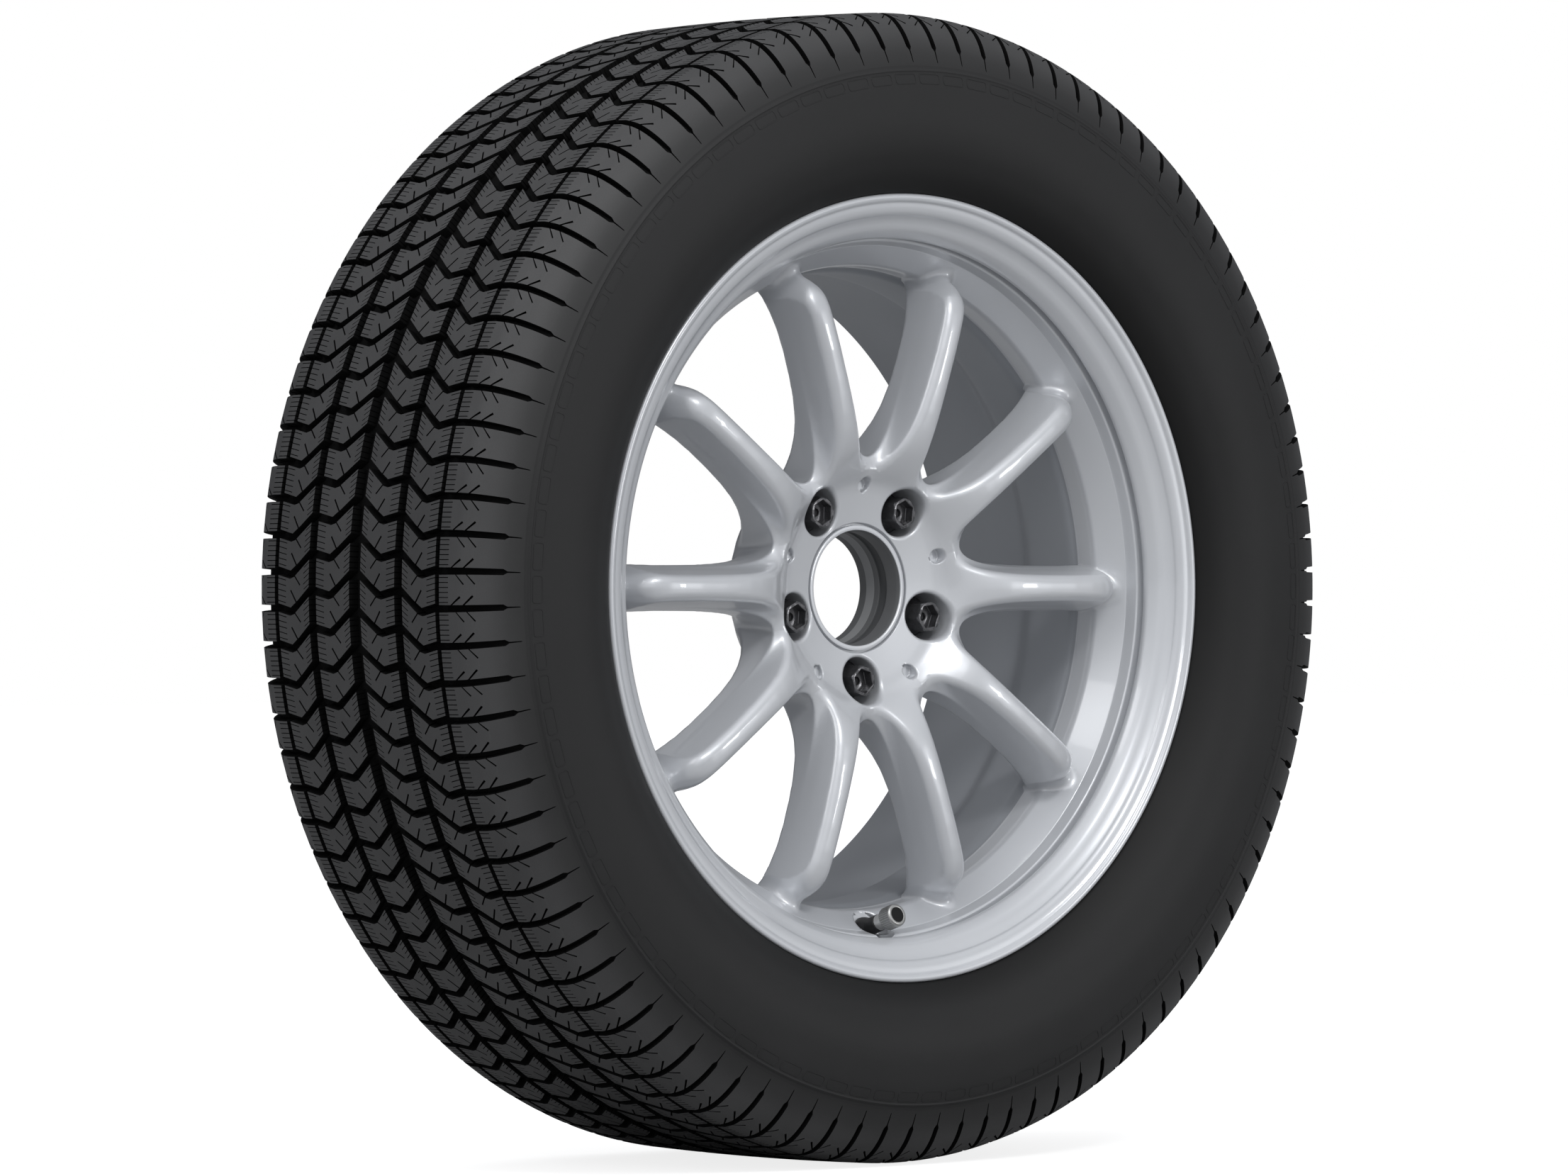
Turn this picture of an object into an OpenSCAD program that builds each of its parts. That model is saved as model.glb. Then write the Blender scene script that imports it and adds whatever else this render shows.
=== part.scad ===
// Ten-spoke cast alloy wheel with a fitted winter tyre, five wheel bolts and a snap-in valve.
// The wheel's spin axis is Y, its outboard face looks along -Y, Z is up; millimetres.

/* [Rim] */
// radius of the bead seats at the flange
bead_seat_r = 218.3; // [200:0.1:240]
// outer radius of the flanges
flange_r = 235.8; // [220:0.1:260]
// distance from the mid-plane to the inner face of a flange
flange_in = 88.9; // [70:0.1:120]
// distance from the mid-plane to the outer plane of a flange
flange_out = 98.5; // [80:0.1:130]

/* [Spokes] */
// number of spokes
spokes = 10; // [5:1:12]
// half-width of a spoke at its back
spoke_back = 14; // [8:0.1:20]
// half-width of a spoke at its crest
spoke_crest = 4.2; // [3:0.1:12]
// radius of the window's outer wall
window_r = 193.5; // [150:0.1:205]

/* [Hub] */
// diameter of the bolt circle
pcd = 112; // [98:0.1:130]
// radius of the centring bore
bore_r = 33.3; // [25:0.05:40]
// radius of the mounting pad
pad_r = 70; // [60:0.5:80]
// distance of the mounting pad from the mid-plane
pad_u = 14.1; // [-20:0.1:60]
// radius of the bolts' threads
thread_r = 7; // [5:0.5:8]

/* [Tyre] */
// radius of the tread at the mid-plane
tyre_r = 345.6; // [300:0.1:380]
// depth of the tread grooves
tread_depth = 6.5; // [1.6:0.1:10]
// largest distance of the sidewall from the mid-plane
section_half = 119; // [90:0.5:140]

/* [Valve] */
// tilt of the valve towards the axis, in degrees
valve_tilt = 18.2; // [0:0.1:30]
// radius of the valve seat's centre
valve_r = 205.7; // [190:0.1:215]
// distance of the valve seat from the mid-plane
valve_u = 55.5; // [40:0.1:70]
// radius of the valve cap
cap_r = 7.1; // [5:0.05:9]

/* [Hidden] */
$fn = 0;
$fa = 2;
$fs = 0.4;
step_a = 360 / spokes;
half_a = step_a / 2;
silver = [0.72, 0.74, 0.77];
black = [0.06, 0.06, 0.065];
rubber = [0.11, 0.11, 0.115];
steel = [0.62, 0.62, 0.60];
brass = [0.70, 0.58, 0.30];
bolt_az = [54, 126, 198, 270, 342];
bolt_turn = [30, 22, 8, 14, 26];

// the wheel's own axis frame: z is outboard, y is up
module outboard() { rotate([90, 0, 0]) children(); }
// the valve's frame: z runs along the valve, 0 is the seat
module valve_frame() { outboard() translate([0, -valve_r, valve_u]) rotate([-valve_tilt, 0, 0]) children(); }

rim_pts = concat(
    [[235.8, 98.3], [235.2, 99.1], [234.2, 99.5], [233, 99.3], [231.4, 98.5], [229.6, 97.6], [227.6, 97.1],
     [225.6, 96.4], [223.8, 95.1], [222.2, 93.2], [220.6, 91.6], [218.6, 90.4], [216.4, 89.4], [214.4, 88.1],
     [212.6, 86.2], [211.2, 84.4], [210.1, 82.8], [209.5, 81.2], [209.6, 79.9],
     [213.2, 79.6], [213.2, 75.5], [208.2, 75.3], [207.9, 74.9], [206.2, 69],
     [205.6, 67.8], [196.2, 54.6], [194.8, 52.4], [193.95, 50.4], [window_r, 47.6], [window_r, 38.5],
     [192.4, 36.5], [190.8, 33], [190.4, 29], [190.4, 2], [191.4, -3], [198.6, -16], [200, -20], [200.4, -26],
     [201.2, -95.8], [202.6, -97.6], [204.6, -98.2], [229, -98.6], [232.4, -99.3], [234.4, -99.3], [235.4, -98.9], [235.8, -98.3]],
    [for (k = [0:5]) let (a = 6.3 + 16.74 * k) [flange_r - 9.5 + 9.5 * cos(a), -(flange_in + 9.5 - 9.5 * sin(a))]],
    [[221.4, -flange_in], [219.4, -88], [bead_seat_r, -85.8], [216.7, -67.2], [217.4, -65.4], [217.6, -63.4], [217.2, -61.4],
     [213.4, -57.6], [210.4, -55.4], [209, -52], [209, -27], [207.6, -23], [199.4, -8.4], [198, -5], [197.6, -1],
     [197.6, 36.4], [198.2, 40.2], [199.8, 43], [211.4, 52.4], [213.6, 54.2], [217.2, 60.4], [217.6, 62.6], [217.4, 65],
     [216.8, 67.2], [bead_seat_r, 85.8], [219.4, 88], [221.4, flange_in]],
    [for (k = [5:-1:0]) let (a = 6.3 + 16.74 * k) [flange_r - 9.5 + 9.5 * cos(a), flange_in + 9.5 - 9.5 * sin(a)]]
);

// hub and spokes turned as one disc, before the windows are cut
disc_pts = [
    [bore_r, pad_u + 0.8], [bore_r, 20.5], [34.6, 26.5], [34.6, 31], [35.6, 31.4], [35.6, 38.2], [34, 38.6], [34, 47.2], [34.9, 49.7],
    [35.4, 50.1], [37.4, 50.1], [37.8, 49.7], [37.8, 47.4], [39.2, 47.4], [39.2, 50.2], [39.6, 50.6],
    [50, 53], [58, 54.8], [62.5, 56.2], [66, 58.6], [70, 62.3], [75, 66.4], [80, 70], [85, 73.2], [90, 75.6], [95, 77.3],
    [100, 78.6], [110, 80.2], [120, 81.1], [130, 81.7], [150, 82.3], [165, 82], [174, 81], [180, 79.6], [185, 77.4],
    [189, 74.4], [192.4, 70.6], [195, 66], [197, 61], [198.6, 56], [198.6, 46], [196.2, 41], [195.6, 40],
    [190, 41.5], [185, 43.8], [178, 46.4], [168, 48.6], [155, 49.6], [140, 49.6], [125, 48.8], [112, 46.6], [102, 43],
    [92, 37.4], [84, 31], [78, 24.6], [74.4, 18.6], [72.6, 15.6], [pad_r, pad_u], [bore_r + 0.8, pad_u]
];

// level of a window contour: height, inner radius, half-width of the spokes, outer radius, corner radius
levels = [
    [-20, 70, spoke_back + 3.4, 195.6, 10],
    [49.2, 77.4, spoke_back, 195.8, 12],
    [59.5, 80, 12.1, 201.8, 13],
    [62.5, 74, 11.5, 204, 13],
    [69.6, 62, 10, 209.2, 14],
    [78, 54, 7.8, 214.9, 15],
    [87, 47, spoke_crest, 221.2, 16]
];
// one contour: flared at the hub, straight along the spokes, rounded at the ring
function flare(x, l) = (x * tan(half_a) - l[2] / cos(half_a)) * sqrt(1 - exp(-(x - l[1]) / 13));
function side_x(l) = [l[1] + 0.8, l[1] + 3, l[1] + 7, l[1] + 13, l[1] + 22, l[1] + 36, l[1] + 56];
function corner_b(l) = asin((l[2] + l[4]) / (l[3] - l[4]));
function upper(l) = let (b = corner_b(l), c = (l[3] - l[4]) * [cos(half_a - b), sin(half_a - b)]) concat(
    [for (x = side_x(l)) [x, flare(x, l)]],
    [for (k = [0:4]) let (a = half_a + 90 - (90 + b) * k / 4) c + l[4] * [cos(a), sin(a)]],
    [[l[3] * cos((half_a - b) / 2), l[3] * sin((half_a - b) / 2)]]
);
function contour(l) = let (u = upper(l), n = len(u)) concat([[l[1], 0]], u, [[l[3], 0]], [for (k = [n - 1:-1:0]) [u[k][0], -u[k][1]]]);

module window() {
    c = [for (l = levels) [for (p = contour(l)) [p[0], p[1], l[0]]]];
    m = len(c[0]);
    n = len(levels);
    polyhedron(
        points = [for (k = c) each k],
        faces = concat(
            [[for (i = [m - 1:-1:0]) i]],
            [for (j = [0:n - 2]) for (i = [0:m - 1]) [j * m + i, (j + 1) * m + (i + 1) % m, (j + 1) * m + i]],
            [for (j = [0:n - 2]) for (i = [0:m - 1]) [j * m + i, j * m + (i + 1) % m, (j + 1) * m + (i + 1) % m]],
            [[for (i = [0:m - 1]) (n - 1) * m + i]]
        ), convexity = 6);
}

module bolt_hole() {
    translate([0, 0, pad_u - 5]) cylinder(r = 7.5, h = 20);
    intersection() {
        translate([0, 0, 37.1]) sphere(r = 14.1);
        translate([0, 0, 18]) cylinder(r = 13.4, h = 18);
    }
    translate([0, 0, 32.4]) cylinder(r = 14.2, h = 50);
}

module wheel() color(silver) outboard() difference() {
    union() {
        rotate_extrude() polygon(rim_pts);
        difference() {
            rotate_extrude() polygon(disc_pts);
            for (k = [0:spokes - 1]) rotate([0, 0, half_a + step_a * k]) window();
        }
    }
    for (a = bolt_az) rotate([0, 0, a]) translate([pcd / 2, 0, 0]) bolt_hole();
    for (k = [0:4]) rotate([0, 0, 18 + 72 * k]) translate([62.5, 0, 51.8]) cylinder(r = 4.3, h = 20);
    // valve hole, its pocket in the disc ring and the seat on the air side
    translate([0, -valve_r, valve_u]) rotate([-valve_tilt, 0, 0]) {
        translate([0, 0, -10]) cylinder(r = 5.65, h = 12);
        cylinder(r = 11, h = 30);
        translate([0, 0, -18]) cylinder(r = 11, h = 14);
    }
}

// section of the tyre: tread with five grooves, shoulders, sidewalls and beads
function crown(u) = tyre_r - 0.00018 * u * u;
function groove(a, b) = [[crown(a), a], [crown(a) - tread_depth, a + 0.6], [crown(b) - tread_depth, b - 0.6], [crown(b), b]];
side_out = [[343.4, 86], [341.6, 92], [338, 98], [333.4, 102.6], [327, 106.6], [319, 110.4], [309, 114.2], [298, 117.2],
    [287, section_half - 0.4], [278, section_half], [269, section_half - 1], [260, 115.6], [252, 111.6], [245, 107], [240.4, 103],
    [237.6, 100.2], [236.2, 98.6]];
side_in = [[226.3, 88.75], [221.4, 88.75], [219.5, 87.9], [218.45, 85.7], [217.05, 68.6], [217.5, 67.2],
    [220.5, 66.6], [225, 70], [232, 79], [240, 89], [250, 98.6], [262, 105.8], [274, 109.4], [286, 109.8], [298, 107.6],
    [310, 103.4], [320, 98], [327, 91.6], [331, 83], [332.6, 72], [333.2, 50]];
function mir(p) = [for (k = [len(p) - 1:-1:0]) [p[k][0], -p[k][1]]];
bead_arc = [for (k = [1:4]) let (a = 6.3 + 16.74 * k) [flange_r - 9.5 + 9.65 * cos(a), flange_in + 9.5 - 9.65 * sin(a)]];
half_tyre = concat(
    groove(36.6, 43.6), groove(73.2, 76.8), side_out, bead_arc, side_in);
tyre_pts = concat(
    [[crown(0) - tread_depth, 0], [crown(5) - tread_depth, 4.6], [crown(5.2), 5.2]],
    half_tyre, [[333.6, 0]], mir(half_tyre),
    [[crown(5.2), -5.2], [crown(5) - tread_depth, -4.6]]);

module tyre() color(rubber) outboard() rotate_extrude() polygon(tyre_pts);

module wheel_bolt(i) color(black) outboard() rotate([0, 0, bolt_az[i]]) translate([pcd / 2, 0, 0]) rotate([0, 0, bolt_turn[i]]) difference() {
    union() {
        translate([0, 0, 4]) cylinder(r1 = 6, r2 = thread_r, h = 1.2);
        translate([0, 0, 5.2]) cylinder(r = thread_r, h = pad_u - 5.2);
        translate([0, 0, pad_u - 0.5]) cylinder(r = 6.5, h = 13.5);
        intersection() {
            translate([0, 0, 37.1]) sphere(r = 14);
            translate([0, 0, 25]) cylinder(r = 13, h = 9.4);
        }
        translate([0, 0, 34.2]) cylinder(r = 12.6, h = 4.2);
        translate([0, 0, 38.3]) cylinder(r1 = 12.6, r2 = 11.4, h = 1.2);
        translate([0, 0, 39.4]) cylinder(r1 = 11.4, r2 = 8.2, h = 6.4);
        intersection() {
            translate([0, 0, 39]) cylinder(r = 17 / sqrt(3), h = 17.1, $fn = 6);
            union() {
                translate([0, 0, 39]) cylinder(r = 10, h = 15.9);
                translate([0, 0, 54.8]) cylinder(r1 = 10, r2 = 8.9, h = 1.3);
            }
        }
    }
    translate([0, 0, 49.6]) cylinder(r = 13 / sqrt(3), h = 10, $fn = 6);
    translate([0, 0, 47.2]) cylinder(r = 2.4, h = 5);
}

module valve_body() color(black) valve_frame() rotate_extrude() polygon([
    [3.95, -8.6], [6.4, -8.6], [7.6, -8.2], [9.2, -4.8], [9.2, -4.1], [5.6, -4.1], [5.6, 0.1], [7.4, 0.1], [7.6, 0.6], [7.4, 2.2], [6.9, 3.8],
    [6.2, 5.4], [5.6, 6.8], [5.3, 8.4], [5.2, 10], [5.2, 15.1], [4.9, 15.4], [3.95, 15.4]]);

module valve_stem() color(steel) valve_frame() rotate_extrude() polygon([
    [1.7, -8.4], [3.9, -8.4], [3.9, 15.45], [4.7, 15.45], [4.9, 15.65], [4.9, 22], [4.7, 22.2], [3.4, 22.2], [3.4, 22.9], [3.85, 23.3],
    [3.85, 29.5], [3.45, 29.9], [2.75, 29.9], [2.65, 29.7], [2.65, 24.4], [2.1, 23.4], [2.1, 12], [1.7, 11.6]]);

module valve_core_body() color(brass) valve_frame() rotate_extrude() polygon([
    [0.95, 17.2], [1.8, 17.2], [2.05, 17.6], [2.05, 23.6], [2.6, 24.7], [2.6, 28.6], [2.4, 28.8], [1.5, 28.8], [1.5, 26.4], [0.95, 26.4]]);

module valve_core_pin() color(brass) valve_frame() {
    translate([0, 0, 14.2]) cylinder(r = 0.9, h = 15);
    translate([0, 0, 29.1]) cylinder(r = 1.1, h = 0.7);
    translate([0, 0, 13.8]) cylinder(r = 1.7, h = 0.8);
}

module valve_core_seal() color(black) valve_frame() rotate_extrude() polygon([
    [0.9, 14.6], [1.7, 14.6], [1.7, 16.6], [1.5, 17.15], [0.9, 17.15]]);

module valve_cap() color(steel) valve_frame() rotate_extrude() polygon([
    [3.93, 22.9], [4.3, 22.5], [6.5, 22.5], [6.9, 22.8], [cap_r, 23.2], [cap_r, 31.2], [6.7, 32], [5.6, 32.4], [4.75, 32.4], [4.7, 32.35], [4.7, 31.6],
    [0, 31.6], [0, 30.85], [3.93, 30.85]]);

module valve_cap_disc() color(black) valve_frame() translate([0, 0, 31.65]) cylinder(r = 4.62, h = 0.65);

module valve_cap_seal() color(black) valve_frame() difference() {
    translate([0, 0, 30.05]) cylinder(r = 3.6, h = 0.75);
    translate([0, 0, 29]) cylinder(r = 1.6, h = 3);
}

module wheel_bolt_1() wheel_bolt(0);
module wheel_bolt_2() wheel_bolt(1);
module wheel_bolt_3() wheel_bolt(2);
module wheel_bolt_4() wheel_bolt(3);
module wheel_bolt_5() wheel_bolt(4);

wheel();
tyre();
wheel_bolt_1();
wheel_bolt_2();
wheel_bolt_3();
wheel_bolt_4();
wheel_bolt_5();
valve_body();
valve_stem();
valve_core_body();
valve_core_pin();
valve_core_seal();
valve_cap();
valve_cap_disc();
valve_cap_seal();
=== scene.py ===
import math

import bpy
import numpy as np
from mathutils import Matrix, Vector
from mathutils.geometry import delaunay_2d_cdt


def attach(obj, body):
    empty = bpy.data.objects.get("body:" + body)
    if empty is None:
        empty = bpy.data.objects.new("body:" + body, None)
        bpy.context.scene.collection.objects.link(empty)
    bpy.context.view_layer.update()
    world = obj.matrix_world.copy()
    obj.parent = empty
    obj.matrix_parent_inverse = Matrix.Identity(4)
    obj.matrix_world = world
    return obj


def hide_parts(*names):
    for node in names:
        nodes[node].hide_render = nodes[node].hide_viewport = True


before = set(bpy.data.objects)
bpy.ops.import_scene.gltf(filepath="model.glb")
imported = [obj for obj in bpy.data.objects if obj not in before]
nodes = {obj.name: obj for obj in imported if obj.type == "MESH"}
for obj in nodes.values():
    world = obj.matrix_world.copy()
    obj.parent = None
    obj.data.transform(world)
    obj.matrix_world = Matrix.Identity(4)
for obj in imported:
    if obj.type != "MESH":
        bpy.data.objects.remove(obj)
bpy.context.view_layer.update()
MM = 0.001
TAU = 2 * math.pi


# ------------------------------------------------------------------ helpers
def to_world(p):
    """(x, y, u) of the wheel's own axis frame, u outboard, in mm, to metres in the row frame."""
    p = np.asarray(p, float)
    return np.stack([p[:, 0], -p[:, 2], p[:, 1]], 1) * MM


def make_mesh(name, pts, faces, sharp=None, normals=None, slots=None):
    """A mesh object from points in metres and a list or array of faces."""
    me = bpy.data.meshes.new(name)
    if isinstance(faces, np.ndarray):
        nv = faces.shape[1]
        n = len(faces)
        me.vertices.add(len(pts))
        me.vertices.foreach_set("co", np.asarray(pts, np.float32).ravel())
        me.loops.add(n * nv)
        me.loops.foreach_set("vertex_index", faces.astype(np.int32).ravel())
        me.polygons.add(n)
        me.polygons.foreach_set("loop_start", np.arange(0, n * nv, nv, dtype=np.int32))
        me.update(calc_edges=True)
        me.validate()
    else:
        me.from_pydata([tuple(p) for p in pts], [], faces)
    me.shade_smooth()
    if slots is not None and len(slots) == len(me.polygons):
        me.polygons.foreach_set("material_index", np.asarray(slots, np.int32))
    if sharp is not None:
        me.set_sharp_from_angle(angle=math.radians(sharp))
    if normals is not None:
        me.normals_split_custom_set_from_vertices([tuple(n) for n in normals])
    ob = bpy.data.objects.new(name, me)
    bpy.context.scene.collection.objects.link(ob)
    return ob


def revolve(profile, n, closed=True, start=0.0):
    """Points and quads of a profile [(radius, u)] turned about the axis."""
    profile = np.asarray(profile, float)
    m = len(profile)
    a = start + np.arange(n) * TAU / n
    x = np.cos(a)[:, None] * profile[None, :, 0]
    y = np.sin(a)[:, None] * profile[None, :, 0]
    u = np.broadcast_to(profile[None, :, 1], x.shape)
    pts = np.stack([x, y, u], -1).reshape(-1, 3)
    k = np.arange(m if closed else m - 1)
    j = np.arange(n)
    jj, kk = np.meshgrid(j, k, indexing="ij")
    k2 = (kk + 1) % m
    j2 = (jj + 1) % n
    quads = np.stack([jj * m + kk, j2 * m + kk, j2 * m + k2, jj * m + k2], -1).reshape(-1, 4)
    return pts, quads


def outward(pts, quads):
    """The quads, turned over if the closed mesh would be inside out."""
    v = pts
    vol = 0.0
    for t in ((0, 1, 2), (0, 2, 3)):
        a, b, c = v[quads[:, t[0]]], v[quads[:, t[1]]], v[quads[:, t[2]]]
        vol += np.einsum("ij,ij->i", a, np.cross(b, c)).sum()
    return quads if vol > 0 else quads[:, ::-1]


def spline(points, step):
    """Points of a centripetal Catmull-Rom curve through the given points."""
    p = np.asarray(points, float)
    out = [p[0]]
    for i in range(len(p) - 1):
        p0 = p[i - 1] if i else 2 * p[0] - p[1]
        p1, p2 = p[i], p[i + 1]
        p3 = p[i + 2] if i + 2 < len(p) else 2 * p[-1] - p[-2]
        d = [max(np.linalg.norm(b - a), 1e-6) ** 0.5 for a, b in ((p0, p1), (p1, p2), (p2, p3))]
        t0, t1, t2, t3 = 0, d[0], d[0] + d[1], d[0] + d[1] + d[2]
        n = max(1, int(round(np.linalg.norm(p2 - p1) / step)))
        for k in range(1, n + 1):
            t = t1 + (t2 - t1) * k / n
            a1 = (t1 - t) / (t1 - t0) * p0 + (t - t0) / (t1 - t0) * p1
            a2 = (t2 - t) / (t2 - t1) * p1 + (t - t1) / (t2 - t1) * p2
            a3 = (t3 - t) / (t3 - t2) * p2 + (t - t2) / (t3 - t2) * p3
            b1 = (t2 - t) / (t2 - t0) * a1 + (t - t0) / (t2 - t0) * a2
            b2 = (t3 - t) / (t3 - t1) * a2 + (t - t1) / (t3 - t1) * a3
            out.append((t2 - t) / (t2 - t1) * b1 + (t - t1) / (t2 - t1) * b2)
    return np.array(out)


# ------------------------------------------------------------------ materials
def new_mat(name):
    m = bpy.data.materials.new(name)
    m.use_nodes = True
    nt = m.node_tree
    for n in list(nt.nodes):
        nt.nodes.remove(n)
    out = nt.nodes.new("ShaderNodeOutputMaterial")
    bs = nt.nodes.new("ShaderNodeBsdfPrincipled")
    nt.links.new(bs.outputs[0], out.inputs[0])
    return m, nt, bs


def noise(nt, coord, scale, detail=3.0, rough=0.55):
    n = nt.nodes.new("ShaderNodeTexNoise")
    n.inputs["Scale"].default_value = scale
    n.inputs["Detail"].default_value = detail
    n.inputs["Roughness"].default_value = rough
    nt.links.new(coord, n.inputs["Vector"])
    return n.outputs["Fac"]


def ramp(nt, fac, stops):
    r = nt.nodes.new("ShaderNodeValToRGB")
    el = r.color_ramp.elements
    while len(el) < len(stops):
        el.new(0.5)
    for e, (p, c) in zip(el, stops):
        e.position = p
        e.color = (c, c, c, 1) if isinstance(c, (int, float)) else (*c, 1)
    nt.links.new(fac, r.inputs[0])
    return r.outputs[0]


def bump(nt, height, strength, distance, normal=None):
    b = nt.nodes.new("ShaderNodeBump")
    b.inputs["Strength"].default_value = strength
    b.inputs["Distance"].default_value = distance
    nt.links.new(height, b.inputs["Height"])
    if normal is not None:
        nt.links.new(normal, b.inputs["Normal"])
    return b.outputs[0]


def math_node(nt, op, a, b=None, clamp=False):
    n = nt.nodes.new("ShaderNodeMath")
    n.operation = op
    n.use_clamp = clamp
    for i, v in enumerate((a, b)):
        if v is None:
            continue
        if isinstance(v, (int, float)):
            n.inputs[i].default_value = v
        else:
            nt.links.new(v, n.inputs[i])
    return n.outputs[0]


def object_coord(nt):
    return nt.nodes.new("ShaderNodeTexCoord").outputs["Object"]


def axis_radius(nt, coord):
    """Distance from the wheel's axis, in metres."""
    s = nt.nodes.new("ShaderNodeSeparateXYZ")
    nt.links.new(coord, s.inputs[0])
    a = math_node(nt, "MULTIPLY", s.outputs[0], s.outputs[0])
    b = math_node(nt, "MULTIPLY", s.outputs[2], s.outputs[2])
    return math_node(nt, "SQRT", math_node(nt, "ADD", a, b)), s


def paint(name, lo, hi, metallic, rough, coat, coat_rough, flake=0.04):
    """Lacquered metallic paint: fine flake, a slow mottling of tone and a faint orange peel in the lacquer."""
    m, nt, bs = new_mat(name)
    co = object_coord(nt)
    slow = noise(nt, co, 7.0, 1.0)
    fine = noise(nt, co, 2600.0, 2.0, 0.6)
    mixed = math_node(nt, "ADD", math_node(nt, "MULTIPLY", slow, 1 - flake * 4), math_node(nt, "MULTIPLY", fine, flake * 4))
    nt.links.new(ramp(nt, mixed, [(0.3, lo), (0.7, hi)]), bs.inputs["Base Color"])
    bs.inputs["Metallic"].default_value = metallic
    r = math_node(nt, "ADD", math_node(nt, "MULTIPLY", noise(nt, co, 30.0, 2.0), 0.03), rough - 0.015)
    nt.links.new(r, bs.inputs["Roughness"])
    bs.inputs["Coat Weight"].default_value = coat
    bs.inputs["Coat Roughness"].default_value = coat_rough
    n = bump(nt, noise(nt, co, 260.0, 1.0), 0.02, 0.00008)
    nt.links.new(n, bs.inputs["Normal"])
    return m


def rubber(name, lo, hi, rough, bump_strength, painted_shade_ramp=None, spec=0.5):
    """Moulded rubber: fine grain, slow mottling of tone, and, when a shade ramp is given, painted shade: the colour
    darkened by distance from the wheel's axis.
    """
    m, nt, bs = new_mat(name)
    co = object_coord(nt)
    rad, sep = axis_radius(nt, co)
    slow = noise(nt, co, 22.0, 3.0)
    grain = noise(nt, co, 1500.0, 3.0, 0.65)
    f = math_node(nt, "ADD", math_node(nt, "MULTIPLY", slow, 0.6), math_node(nt, "MULTIPLY", grain, 0.4))
    col = ramp(nt, f, [(0.3, lo), (0.7, hi)])
    # painted shade: the colour is multiplied by a ramp over the distance from the wheel's axis, darkening it where
    # shade falls (by the bead, on the tread's shoulder)
    if painted_shade_ramp:
        shade = ramp(nt, math_node(nt, "MULTIPLY", rad, 2.0), painted_shade_ramp)
        mx = nt.nodes.new("ShaderNodeMix")
        mx.data_type = "RGBA"
        mx.blend_type = "MULTIPLY"
        mx.inputs[0].default_value = 1.0
        nt.links.new(col, mx.inputs[6])
        nt.links.new(shade, mx.inputs[7])
        col = mx.outputs[2]
    nt.links.new(col, bs.inputs["Base Color"])
    r = math_node(nt, "ADD", math_node(nt, "MULTIPLY", slow, 0.12), rough - 0.06)
    nt.links.new(r, bs.inputs["Roughness"])
    bs.inputs["Specular IOR Level"].default_value = spec
    n = bump(nt, grain, bump_strength, 0.00012)
    n = bump(nt, noise(nt, co, 90.0, 2.0), bump_strength * 0.5, 0.0004, n)
    nt.links.new(n, bs.inputs["Normal"])
    return m


def metal(name, lo, hi, rough, scale=900.0, bump_strength=0.08, metallic=1.0):
    m, nt, bs = new_mat(name)
    co = object_coord(nt)
    f = noise(nt, co, scale, 4.0, 0.6)
    nt.links.new(ramp(nt, f, [(0.3, lo), (0.7, hi)]), bs.inputs["Base Color"])
    bs.inputs["Metallic"].default_value = metallic
    nt.links.new(math_node(nt, "ADD", math_node(nt, "MULTIPLY", f, 0.12), rough - 0.06), bs.inputs["Roughness"])
    nt.links.new(bump(nt, f, bump_strength, 0.00008), bs.inputs["Normal"])
    return m


M_SILVER = paint("silver_lacquer", (0.53, 0.545, 0.572), (0.585, 0.60, 0.625), 0.30, 0.36, 0.75, 0.05)
# the barrel's inside: a duller, darker grey, part its own finish and part painted shade of the hollow
M_BARREL_GREY_SHADE = paint("barrel_grey_and_painted_shade", (0.32, 0.335, 0.36), (0.37, 0.385, 0.41), 0.45, 0.5, 0.1, 0.3)
# the bore's inside: a darker grey that also stands for painted shade in the hole; the recess copy is darker still as
# painted shade, the cone copy paler as painted light
M_BORE_GREY_SHADE = paint("bore_grey_and_painted_shade", (0.105, 0.108, 0.112), (0.125, 0.128, 0.132), 0.1, 0.5, 0.1, 0.3)
M_BORE_RECESS_SHADE = paint("bore_recess_painted_shade", (0.052, 0.054, 0.057), (0.064, 0.066, 0.069), 0.1, 0.5, 0.1, 0.3)
M_BORE_CONE_LIGHT = paint("bore_cone_painted_light", (0.26, 0.265, 0.27), (0.30, 0.305, 0.31), 0.2, 0.45, 0.15, 0.25)
# painted shade: groove floors and block walls take this darker copy of the tread rubber
M_GROOVE_SHADE = rubber("groove_painted_shade", (0.0025, 0.0025, 0.0025), (0.0045, 0.0045, 0.0046), 0.8, 0.2, spec=0.08)
# painted shade on the tread: the ramp darkens the rubber towards the shoulder and the sidewall line, by radius
M_TREAD = rubber("tread_rubber", (0.036, 0.036, 0.037), (0.052, 0.052, 0.053), 0.55, 0.25, [(0.618, 0.22), (0.640, 0.42), (0.662, 0.85), (0.680, 1.0)], 0.4)
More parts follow.
